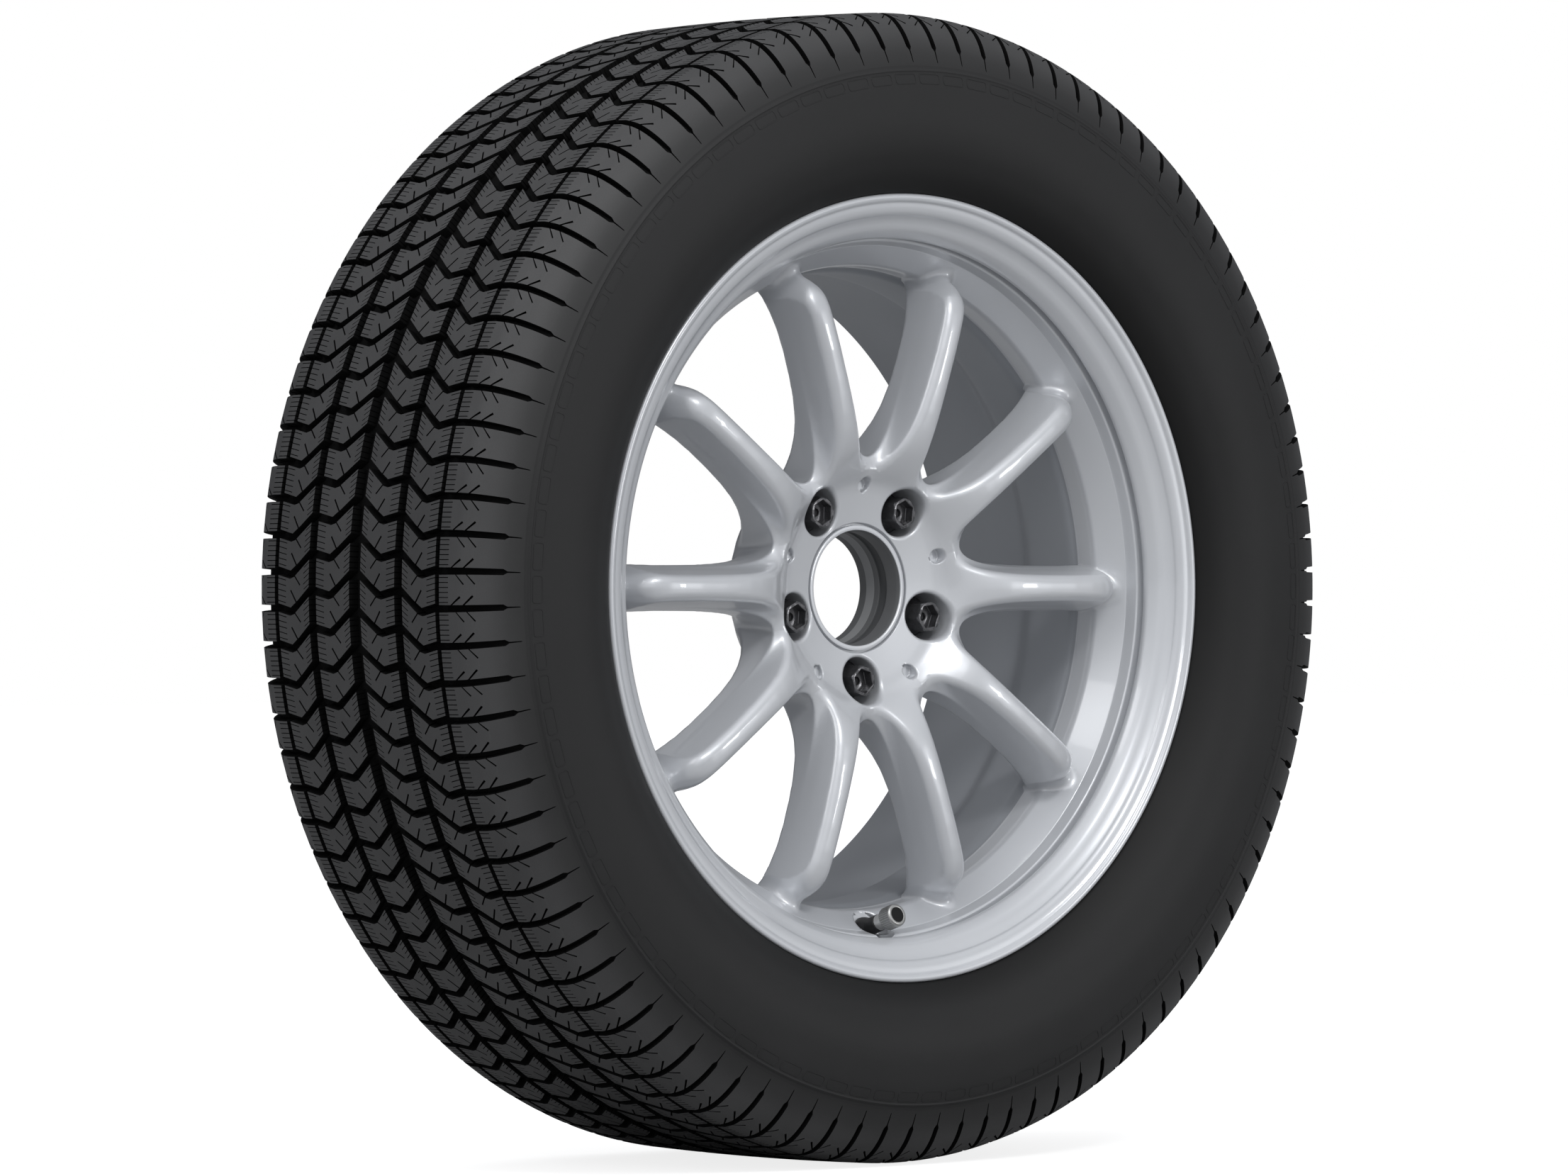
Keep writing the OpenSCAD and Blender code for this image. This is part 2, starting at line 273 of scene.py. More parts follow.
# painted shade on the sidewall: the ramp darkens the rubber towards the bead, where it meets the rim
M_SIDE = rubber("sidewall_rubber", (0.0125, 0.0125, 0.0128), (0.0175, 0.0175, 0.018), 0.6, 0.10, [(0.472, 0.03), (0.486, 0.30), (0.505, 0.80), (0.54, 1.0)], 0.3)
M_BOLT = metal("black_zinc", (0.085, 0.085, 0.09), (0.13, 0.13, 0.136), 0.22, 500.0, 0.08, 0.75)
M_VALVE_RUBBER = rubber("valve_rubber", (0.012, 0.012, 0.013), (0.022, 0.022, 0.023), 0.42, 0.15)
M_CAP = metal("cap_metal", (0.34, 0.34, 0.335), (0.44, 0.44, 0.43), 0.36, 800.0)
M_STEM = metal("stem_nickel", (0.66, 0.66, 0.655), (0.74, 0.74, 0.73), 0.38, 700.0, 0.03, 0.8)
M_BRASS = metal("core_brass", (0.60, 0.46, 0.22), (0.70, 0.56, 0.30), 0.3, 700.0)
M_DISC = rubber("disc_black", (0.004, 0.004, 0.0042), (0.006, 0.006, 0.0063), 0.45, 0.05, spec=0.2)


def dress(ob, *mats):
    slots = None
    if len(mats) > 1:
        # clearing the list of materials also clears which face uses which
        slots = np.zeros(len(ob.data.polygons), dtype=np.int32)
        ob.data.polygons.foreach_get("material_index", slots)
    ob.data.materials.clear()
    for m in mats:
        ob.data.materials.append(m)
    if slots is not None:
        ob.data.polygons.foreach_set("material_index", slots)
        ob.data.update()


# ------------------------------------------------------------------ the casting's face: disc, spokes and ring
T18 = math.tan(math.radians(18))
C18 = math.cos(math.radians(18))
S18 = math.sin(math.radians(18))


def table(points, lo, hi, sigma, step=0.25):
    """A smoothed table of a piecewise straight function, with its slope."""
    x = np.arange(lo, hi + step, step)
    p = np.asarray(points, float)
    y = np.interp(x, p[:, 0], p[:, 1])
    n = max(1, int(4 * sigma / step))
    k = np.exp(-0.5 * (np.arange(-n, n + 1) * step / sigma) ** 2)
    k /= k.sum()
    yy = np.convolve(np.pad(y, n, mode="reflect", reflect_type="odd"), k, mode="valid")
    return x, yy, np.gradient(yy, step)


TOP = table([(30, 48.6), (39, 50.4), (50, 52.8), (58, 54.6), (62.5, 56.2), (66, 58.6), (70, 62.3), (75, 66.4), (80, 70), (85, 73.2), (90, 75.6), (95, 77.3),
             (100, 78.6), (110, 80.2), (120, 81.1), (130, 81.7), (150, 82.3), (165, 82), (174, 81.1), (180, 79.7), (185, 77.6),
             (189, 74.6), (192.4, 70.6), (195, 66), (197, 61), (199, 54), (203, 40), (220, -20)], 30, 220, 1.3)
BACK = table([(30, 14.1), (70.5, 14.1), (72.6, 15.6), (74.4, 18.6), (78, 24.6), (84, 31), (92, 37.4), (102, 43), (112, 46.6), (125, 48.8),
              (140, 49.6), (155, 49.6), (168, 48.6), (178, 46.4), (185, 43.8), (190, 41.5), (196, 38.5), (220, 28)], 30, 220, 1.2)
LEV = np.array([[-20, 70, 17.4], [49.2, 77.4, 14], [59.5, 79.6, 12.1], [61.6, 74, 11.6], [66, 65, 10.8], [69.6, 61, 10], [78, 54, 7.8], [87, 47, 4.2], [100, 37, 0.0]])
RHO_I = table(LEV[:, [0, 1]], -20, 100, 0.8)
HALF_W = table(LEV[:, [0, 2]], -20, 100, 1.5)


def look(t, x):
    return np.interp(x, t[0], t[1]), np.interp(x, t[0], t[2])


def both(a, b, r):
    """Intersection of two solids with its outer edge rounded to radius r."""
    return np.minimum(-r, np.maximum(a, b)) + np.hypot(np.maximum(r + a, 0), np.maximum(r + b, 0))


def either(a, b, r):
    """Union of two solids with a fillet of radius r between them."""
    return np.maximum(r, np.minimum(a, b)) - np.hypot(np.maximum(r - a, 0), np.maximum(r - b, 0))


VT = math.radians(18.2)
PIN_AZ = np.radians([18, 90, 162, 234, 306])
BOLT_AZ = np.radians([54, 126, 198, 270, 342])


def casting(r, th, u):
    """Signed distance, near enough, to the cast face; negative inside."""
    k = np.round((th - math.radians(18)) / math.radians(36))
    phi = np.abs(th - math.radians(18) - k * math.radians(36))
    x, y = r * np.cos(phi), r * np.sin(phi)
    ds = r * np.sin(math.radians(18) - phi)
    # front
    near = np.clip((r - 172) / 20, 0, 1)
    re = r + 0.075 * ds * ds * near * near * (3 - 2 * near)
    t, dt = look(TOP, re)
    crown = 0.02 * np.clip((r - 66) / 30, 0, 1)
    top = (u - t + crown * ds * ds) / np.sqrt(1 + dt * dt)
    b, db = look(BACK, r)
    back = (b - u) / np.sqrt(1 + db * db)
    # windows
    ri, dri = look(RHO_I, u)
    w, dw = look(HALF_W, u)
    q = x * T18 - w / C18
    q = np.where(np.abs(q) < 0.4, np.where(q < 0, -0.4, 0.4), q)
    e = np.exp(np.clip(-(x - ri) / 13, -9, 4))
    yq = y / q
    h = yq * yq + e - 1
    hy = 2 * yq / q
    hx = -2 * yq * yq * T18 / q - e / 13
    hu = 2 * yq * yq * dw / C18 / q + e / 13 * dri
    win = -h / np.sqrt(hx * hx + hy * hy + hu * hu + 1e-5)
    win = np.where((q < 0) & (x > ri), -6.0, win)
    win = np.where(x < ri, np.minimum(win, x - ri), win)
    win = np.clip(win, -40, 40)
    disc = both(both(top, win, 3.1), back, 2.5)
    # ring
    g1 = (-(r - 194.3) * 16.3 + (u - 52.7) * 11.8) / 20.12
    ring = both(g1, 193.8 - r, 1.6)
    ring = np.maximum(ring, u - 68.4)
    ring = np.maximum(ring, ((r - 196.4) * 15.5 - (u - 37.4) * 14.4) / 21.16)
    ring = np.maximum(ring, r - 210.5)
    ring = np.maximum(ring, 37 - u)
    body = either(disc, ring, 9.0)
    body = np.maximum(body, np.maximum(r - 210.5, (u - 68.4) + np.where(r > 201, 0, -40)))
    # pockets and holes
    a = BOLT_AZ[np.clip(np.round((th % TAU - BOLT_AZ[0]) / math.radians(72)).astype(int) % 5, 0, 4)]
    d = np.sqrt(np.maximum(r * r + 56.0 ** 2 - 112.0 * r * np.cos(th - a), 0))
    pocket = np.maximum(d - 14.2, 32.4 - u)
    body = both(body, -pocket, 2.4)
    body = both(body, -(d - 7.5), 0.8)
    a = PIN_AZ[np.clip(np.round((th % TAU - PIN_AZ[0]) / math.radians(72)).astype(int) % 5, 0, 4)]
    d = np.sqrt(np.maximum(r * r + 62.5 ** 2 - 125.0 * r * np.cos(th - a), 0))
    body = both(body, -np.maximum(d - 4.25, 51.8 - u), 0.9)
    # valve pocket: the valve's axis leans inwards
    px, py, pu = r * np.cos(th), r * np.sin(th) + 205.7, u - 55.5
    along = pu * math.cos(VT) + py * math.sin(VT)
    cross = py * math.cos(VT) - pu * math.sin(VT)
    d = np.hypot(px, cross)
    body = both(body, -np.maximum(d - 11.0, -along), 2.2)
    return both(body, 39.2 - r, 0.45)


def surface_net(fn, R, TH, U, rounds=3):
    """Quads round the zero surface of fn on a cylindrical grid that closes on itself in angle."""
    g = fn(R[:, None, None], TH[None, :, None], U[None, None, :])
    s = g < 0
    nr, nt, nu = g.shape
    cell = np.zeros((nr - 1, nt, nu - 1), int)
    sr = [s[i:nr - 1 + i] for i in (0, 1)]
    for i in (0, 1):
        for j in (0, 1):
            blk = np.roll(s, -j, axis=1)[i:nr - 1 + i]
            for k in (0, 1):
                cell += blk[:, :, k:nu - 1 + k]
    act = (cell > 0) & (cell < 8)
    idx = -np.ones(act.shape, int)
    idx[act] = np.arange(act.sum())
    ci, cj, ck = np.nonzero(act)
    dth = TAU / nt
    acc = np.zeros((len(ci), 3))
    cnt = np.zeros(len(ci))
    corner = [(i, j, k) for i in (0, 1) for j in (0, 1) for k in (0, 1)]
    for a in corner:
        for ax in range(3):
            if a[ax]:
                continue
            b = list(a)
            b[ax] = 1
            ga = g[ci + a[0], (cj + a[1]) % nt, ck + a[2]]
            gb = g[ci + b[0], (cj + b[1]) % nt, ck + b[2]]
            m = (ga < 0) != (gb < 0)
            t = np.where(m, ga / np.where(m, ga - gb, 1), 0)
            pa = [R[ci + a[0]], TH[0] + (cj + a[1]) * dth, U[ck + a[2]]]
            pb = [R[ci + b[0]], TH[0] + (cj + b[1]) * dth, U[ck + b[2]]]
            for n in range(3):
                acc[:, n] += np.where(m, pa[n] + (pb[n] - pa[n]) * t, 0)
            cnt += m
    p = acc / cnt[:, None]

    def grad(p):
        e = 0.05
        gr = (fn(p[:, 0] + e, p[:, 1], p[:, 2]) - fn(p[:, 0] - e, p[:, 1], p[:, 2])) / (2 * e)
        gt = (fn(p[:, 0], p[:, 1] + e / p[:, 0], p[:, 2]) - fn(p[:, 0], p[:, 1] - e / p[:, 0], p[:, 2])) / (2 * e)
        gu = (fn(p[:, 0], p[:, 1], p[:, 2] + e) - fn(p[:, 0], p[:, 1], p[:, 2] - e)) / (2 * e)
        return gr, gt, gu

    start = p.copy()
    for _ in range(rounds):
        f = fn(p[:, 0], p[:, 1], p[:, 2])
        gr, gt, gu = grad(p)
        n2 = np.maximum(gr * gr + gt * gt + gu * gu, 0.05)
        step = np.clip(f / n2, -0.8, 0.8)
        p[:, 0] -= step * gr
        p[:, 1] -= step * gt / p[:, 0]
        p[:, 2] -= step * gu
    far = np.abs(p - start) * np.stack([np.ones(len(p)), p[:, 0], np.ones(len(p))], 1)
    bad = far.max(1) > 2.5
    p[bad] = start[bad]
    gr, gt, gu = grad(p)
    c, sn = np.cos(p[:, 1]), np.sin(p[:, 1])
    pts = np.stack([p[:, 0] * c, p[:, 0] * sn, p[:, 2]], 1)
    nrm = np.stack([gr * c - gt * sn, gr * sn + gt * c, gu], 1)
    nrm /= np.maximum(np.linalg.norm(nrm, axis=1), 1e-9)[:, None]
    quads = []
    # edges along r
    m = s[:-1] != s[1:]
    i, j, k = np.nonzero(m[:, :, 1:-1])
    k = k + 1
    q = np.stack([idx[i, (j - 1) % nt, k - 1], idx[i, j, k - 1], idx[i, j, k], idx[i, (j - 1) % nt, k]], 1)
    flip = s[i, j, k]
    quads.append(np.where(flip[:, None], q, q[:, ::-1]))
    # edges along the angle
    s2 = np.roll(s, -1, axis=1)
    m = s != s2
    i, j, k = np.nonzero(m[1:-1, :, 1:-1])
    i, k = i + 1, k + 1
    q = np.stack([idx[i - 1, j, k - 1], idx[i, j, k - 1], idx[i, j, k], idx[i - 1, j, k]], 1)
    flip = ~s[i, j, k]
    quads.append(np.where(flip[:, None], q, q[:, ::-1]))
    # edges along u
    m = s[:, :, :-1] != s[:, :, 1:]
    i, j, k = np.nonzero(m[1:-1])
    i = i + 1
    q = np.stack([idx[i - 1, (j - 1) % nt, k], idx[i, (j - 1) % nt, k], idx[i, j, k], idx[i - 1, j, k]], 1)
    flip = s[i, j, k]
    quads.append(np.where(flip[:, None], q, q[:, ::-1]))
    quads = np.vstack(quads)
    quads = quads[(quads >= 0).all(1)]
    return pts, quads, nrm


def world_normals(n):
    return np.stack([n[:, 0], -n[:, 2], n[:, 1]], 1)


Rg = np.concatenate([np.arange(38.4, 42.2, 0.55), np.arange(42.8, 84, 1.3), np.arange(84.6, 186, 2.2), np.arange(187, 213, 1.7)])
Ug = np.arange(11.6, 86.5, 1.65)
Tg = np.arange(580) * TAU / 580
pts, quads, nrm = surface_net(casting, Rg, Tg, Ug)


def part_of(name, pick):
    q = quads[pick]
    used, inv_ = np.unique(q, return_inverse=True)
    ob_ = make_mesh(name, to_world(pts[used]), inv_.reshape(q.shape), normals=world_normals(nrm[used]))
    dress(ob_, M_SILVER)
    print(name, "quads", len(q))
    return ob_


middle = np.hypot(pts[quads].mean(1)[:, 0], pts[quads].mean(1)[:, 1])
level = pts[quads].mean(1)[:, 2]
sleeved = (middle < 39.6) & (level > 17) & (level < 46)      # this wall lies behind the bore's own surface
hub = part_of("casting_hub", (middle < 96) & ~sleeved)
face = part_of("casting_spokes", middle >= 96)

# ------------------------------------------------------------------ rim: lip, groove, ring edge and barrel
lip = spline([(235.8, 98.3), (235.2, 99.1), (234.2, 99.5), (233, 99.45), (231.9, 99.1), (231.3, 98.65), (230.95, 98.0), (230.4, 97.65), (229.2, 97.45), (227.4, 97.15),
              (225.4, 96.5), (224.0, 95.6), (223.1, 94.6), (222.7, 93.8), (222.1, 93.1), (220.6, 91.8), (218.6, 90.5), (216.4, 89.4), (214.4, 88.1),
              (212.6, 86.2), (211.2, 84.4), (210.1, 82.8), (209.5, 81.2), (209.6, 79.9)], 0.55)
ring_edge = spline([(213.2, 75.5), (209.2, 75.5), (208.4, 75.35), (208.0, 74.9), (207.7, 74.0), (206.2, 69.0), (205.8, 68.0)], 0.6)
hidden = [(204.0, 64.4), (197.6, 55.6), (195.4, 50.0), (195.3, 42.0), (193.5, 39.4)]
barrel = spline([(193.5, 38.5), (192.4, 36.5), (190.8, 33), (190.4, 29), (190.4, 2), (191.4, -3), (198.6, -16), (200, -20), (200.4, -26)], 2.0)
tail = [(201.2, -95.8), (202.6, -97.6), (204.6, -98.2), (229, -98.6), (232.4, -99.3), (234.4, -99.3), (235.4, -98.9), (235.8, -98.3)]
J = [(226.3 + 9.5 * math.cos(math.radians(6.3 + 16.74 * k)), 98.4 - 9.5 * math.sin(math.radians(6.3 + 16.74 * k))) for k in range(6)]
air = [(221.4, -88.9), (219.4, -88), (218.3, -85.8), (216.7, -67.2), (217.4, -65.4), (217.6, -63.4), (217.2, -61.4),
       (213.4, -57.6), (210.4, -55.4), (209, -52), (209, -27), (207.6, -23), (199.4, -8.4), (198, -5), (197.6, -1),
       (197.6, 36.4), (198.2, 40.2), (199.8, 43), (211.4, 52.4), (213.6, 54.2), (217.2, 60.4), (217.6, 62.6), (217.4, 65),
       (216.8, 67.2), (218.3, 85.8), (219.4, 88), (221.4, 88.9)]
rim_profile = np.vstack([lip, [(213.2, 79.6)], ring_edge, hidden, barrel, tail, [(p[0], -p[1]) for p in J], air, J[::-1]])
keep = np.r_[True, np.linalg.norm(np.diff(rim_profile, axis=0), axis=1) > 0.02]
rim_profile = rim_profile[keep]
pts, quads = revolve(rim_profile, 288)
quads = outward(pts, quads)
mid = pts[quads].mean(1)
rad_mid = np.hypot(mid[:, 0], mid[:, 1])
# the barrel's inside takes the darker grey: part its own finish, part painted shade
dark = (mid[:, 2] < 38.9) & (rad_mid < 204)
rim = make_mesh("casting_rim", to_world(pts), quads, sharp=38, slots=dark.astype(int))
dress(rim, M_SILVER, M_BARREL_GREY_SHADE)

# the rim gives way to the valve's pocket
cp, cq = revolve([(0.01, -1.2), (11.4, -1.2), (11.4, 34), (0.01, 34)], 48)
ca, sa = math.cos(VT), math.sin(VT)
cp = np.stack([cp[:, 0], -205.7 + cp[:, 1] * ca + cp[:, 2] * sa, 55.5 + cp[:, 2] * ca - cp[:, 1] * sa], 1)
cutter = make_mesh("valve_cutter", to_world(cp), outward(cp - cp.mean(0), cq))
mod = rim.modifiers.new("pocket", "BOOLEAN")
mod.operation = "DIFFERENCE"
mod.solver = "EXACT"
mod.object = cutter
dg = bpy.context.evaluated_depsgraph_get()
cut = bpy.data.meshes.new_from_object(rim.evaluated_get(dg))
rim.modifiers.clear()
rim.data = cut
rim.data.set_sharp_from_angle(angle=math.radians(38))
bpy.data.objects.remove(cutter)
print("casting_rim polygons", len(rim.data.polygons))

# bore: raised front ring, its groove and the stepped hole
bore = [(40.6, 47.2), (37.8, 47.2), (37.8, 49.7), (37.7, 50.0), (37.4, 50.1), (35.4, 50.1), (35.1, 50.0), (34.9, 49.7),
        (34.05, 47.4), (34, 47.0), (34, 38.8), (34.2, 38.5), (35.4, 38.2), (35.6, 37.9), (35.6, 31.7), (35.4, 31.3), (34.8, 31.1), (34.6, 30.8), (34.6, 26.7),
        (34.5, 26.2), (33.4, 20.7), (33.3, 20.2), (33.3, 14.9), (34.1, 14.1), (39.1, 14.1), (40.6, 15.6)]
pts, quads = revolve(bore, 160)
quads = outward(pts, quads)
mid = pts[quads].mean(1)
# painted shade and light by band inside the hole: the recess (slot 2) darkest, the cone (slot 3) palest, the rest (slot
# 1) dark grey
inner = (np.hypot(mid[:, 0], mid[:, 1]) < 35.7) & (mid[:, 2] < 48.6)
band = np.where(inner, np.where((mid[:, 2] > 31.2) & (mid[:, 2] < 38.4), 2, np.where((mid[:, 2] > 20.5) & (mid[:, 2] < 26.6), 3, 1)), 0)
centre = make_mesh("casting_bore", to_world(pts), quads, sharp=30, slots=band)
dress(centre, M_SILVER, M_BORE_GREY_SHADE, M_BORE_RECESS_SHADE, M_BORE_CONE_LIGHT)

for ob in (hub, face, rim, centre):
    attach(ob, "wheel")
    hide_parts("wheel")


# ------------------------------------------------------------------ tyre
PITCHES = 100
TR = 345.6
P = TAU * TR / PITCHES
DEPTH = 6.5
PX = 7.84          # layout units to the millimetre


def crown(u):
    return TR - 0.00018 * u * u


outer = [(crown(u), u) for u in (0, 20, 40, 60, 76.8, 80, 84)] + [
    (343.5, 87), (342.7, 90), (341.4, 93), (339.5, 96), (336.9, 99), (333.6, 102), (329.8, 104.8), (325.5, 107.3), (320, 110), (314.6, 112.1), (309, 114.2), (304, 115.8), (298, 117.2)]
outer = spline(outer, 1.0)
arc = np.r_[0, np.cumsum(np.linalg.norm(np.diff(outer, axis=0), axis=1))]
tang = np.gradient(outer, axis=0)
tang /= np.linalg.norm(tang, axis=1)[:, None]


def arc_at(u=None, rho=None):
    return float(np.interp(u, outer[:, 1], arc)) if u is not None else float(np.interp(-rho, -outer[:, 0], arc))


def place(v, c, depth):
    """A point at lateral arc v, circumferential c (mm at the tread), and depth below the surface."""
    rho = np.interp(v, arc, outer[:, 0])
    u = np.interp(v, arc, outer[:, 1])
    tr = np.interp(v, arc, tang[:, 0])
    tu = np.interp(v, arc, tang[:, 1])
    ln = np.hypot(tr, tu)
    rho2 = rho - depth * tu / ln
    u2 = u + depth * tr / ln
    a = c / TR
    return np.stack([rho2, u2, a], -1)


V_KNEE = arc_at(rho=323.0)
V_END = arc_at(rho=314.0)
V_MAX = arc_at(rho=311.5)


def notch(p, q, d, n, width, length):
    """Corners of a slot that opens on the edge p to q at distance d along it and runs in direction n."""
    e = (np.asarray(q, float) - p)
    e /= np.linalg.norm(e)
    n = np.asarray(n, float) / np.linalg.norm(n)
    a = p + e * (d - width / 2)
    b = p + e * (d + width / 2)
    side = np.array([-n[1], n[0]])
    if np.dot(side, e) < 0:
        side = -side
    m = p + e * d + n * length
    return [a, m - side * width / 2, m + side * width / 2, b]


def outline(corners, cuts):
    """A block's outline with its cuts: cuts[i] lists (distance, direction, width, length) on edge i. Returns points and whether the edge that follows is an outer one."""
    pts_, flags = [], []
    n = len(corners)
    for i in range(n):
        p, q = np.asarray(corners[i], float), np.asarray(corners[(i + 1) % n], float)
        pts_.append(p)
        flags.append(True)
        for d, dirn, wd, ln in sorted(cuts.get(i, []), key=lambda t: t[0]):
            four = notch(p, q, d, dirn, wd, ln)
            pts_ += four
            flags += [False, False, False, True]
    return pts_, flags


def v_block(x0, x1, y, far_first):
    """One V block of a row, in mm. x0 is its edge nearer the mid-plane, x1 the edge nearer the shoulder, y the lowest vertex's place round the tyre."""
    # corners in layout units measured from the shoulder-side edge (0) to the centre-side edge (247)
    w = x1 - x0
    k = w / (247 / PX)
    raw = [(0, -150), (95, -132), (127, -140), (247, -220), (247, -95), (160, -35), (100, 0), (0, -20)]
    pts_ = [np.array([x1 - a / PX * k, y + b / PX]) for a, b in raw]
    s_gentle = np.array([-1, 0.19])      # from the shoulder-side edge inwards
    s_steep = np.array([1, 0.63])        # from the centre-side edge inwards
    h = (150 - 20) / PX
    cuts = {7: [], 3: []}
    for i in range(5):
        cuts[7].append((h * (0.10 + 0.2 * i), s_gentle, 0.5, 7.6))
    h2 = 125 / PX
    for i in range(5):
        cuts[3].append((h2 * (0.10 + 0.2 * i), s_steep, 0.5, 6.2 if i % 2 else 5.6))
    # two wider diagonal slits, from the top notch and from the bottom edge
    cuts[2] = [(0.9, np.array([-0.72, 0.72]), 1.0, 7.4)]
    cuts[5] = [(2.2, np.array([0.60, -0.80]), 1.15, 8.6)]
    return outline(pts_, cuts)


def c_of(y):
    return y / PX


# one pitch, from the mid-plane to the shoulder
yA = 360 / PX
yB = 435 / PX
blocks = [v_block(5.2, 36.6, yA, False), v_block(43.6, 73.2, yB, False)]
# shoulder block: its outline runs on into the sidewall
g_top, g_bot = 286 / PX, 422 / PX
gap = P - (g_bot - g_top)
mid_gap = g_bot + gap / 2            # centre of the lateral groove below the block
v0 = 76.8
half_end = 0.7


def shoulder():
    pts_, flags = [], []

    def add(p, f):
        pts_.append(np.asarray(p, float))
        flags.append(f)

    top_y, bot_y = g_top, g_bot
    # along the inner edge, downwards
    p, q = np.array([v0, top_y]), np.array([v0, bot_y])
    add(p, True)
    for i in range(6):
        d = (bot_y - top_y) * (0.085 + 0.166 * i)
        four = notch(p, q, d, (1, 0), 0.5, 7.9)
        for z, f in zip(four, (False, False, False, True)):
            add(z, f)
    add(q, True)
    # along the lower edge to the groove's end
    knee = np.array([V_KNEE, mid_gap - gap * 0.44])
    e = knee - q
    for vv, dirn, wd, ln in ((86.9, (0.78, -0.62), 1.3, 7.6), (arc_at(u=94.3), (0.72, -0.69), 1.3, 7.6)):
        d = (vv - v0) / e[0] * np.linalg.norm(e)
        four = notch(q, knee, d, dirn, wd, ln)
        for z, f in zip(four, (False, False, False, True)):
            add(z, f)
    add(knee, True)
    add((V_KNEE + 2.4, mid_gap - 0.5), True)
    add((V_END, mid_gap - 0.32), True)
    add((V_END + 0.8, mid_gap), None)
    add((V_MAX, mid_gap), None)
    add((V_MAX, mid_gap - P), None)
    add((V_END + 0.8, mid_gap - P), True)
    add((V_END, mid_gap - P + 0.32), True)
    add((V_KNEE + 2.4, mid_gap - P + 0.5), True)
    p = np.array([V_KNEE, mid_gap - P + gap * 0.44])
    add(p, True)
    q = np.array([v0, top_y])
    e = q - p
    for vv, dirn, wd, ln in ((arc_at(u=95.8), (0.66, 0.75), 0.85, 7.4), (90.0, (0.66, 0.75), 0.85, 7.6)):
        d = (vv - p[0]) / e[0] * np.linalg.norm(e)
        four = notch(p, q, d, dirn, wd, ln)
        for z, f in zip(four, (False, False, False, True)):
            add(z, f)
    return pts_, flags


# the pitch's lower border: along the middle of the lateral grooves
def border():
    gA, gB = 0.5 * (P - 130 / PX), 0.5 * (P - 130 / PX)
    steep = 0.5 * (P - 125 / PX)
    b = [(0.0, yA - 95 / PX + steep + 1.0), (5.2, yA - 95 / PX + steep + 1.0), (5.2 + 147 / 247 * 31.4, yA + gA + 1.2), (36.6, yA - 20 / PX + gA),
         (40.1, 0.5 * (yA - 20 / PX + gA + yB - 95 / PX + steep + 1.0)),
         (43.6, yB - 95 / PX + steep + 1.0), (43.6 + 147 / 247 * 29.6, yB + gB + 1.2), (73.2, yB - 20 / PX + gB), (75.0, 0.5 * (yB - 20 / PX + gB + mid_gap)),
         (76.8, mid_gap)]
    for v in np.arange(80, V_END - 1, 3.2):
        b.append((float(v), mid_gap))
    b.append((V_END, mid_gap))
    return [np.array(p) for p in b]


def cdt(points, edges):
    out = delaunay_2d_cdt([Vector((float(p[0]), float(p[1]))) for p in points], edges, [], 0, 1e-5)
    return np.array([(v.x, v.y) for v in out[0]]), out[1], [list(f) for f in out[2]], out[4]


def inside(poly, p):
    poly = np.asarray(poly)
    x, y = p
    x0, y0 = poly[:, 0], poly[:, 1]
    x1, y1 = np.roll(x0, -1), np.roll(y0, -1)
    c = (y0 > y) != (y1 > y)
    xi = x0 + (y - y0) / np.where(c, y1 - y0, 1) * (x1 - x0)
    return bool((c & (x < xi)).sum() % 2)


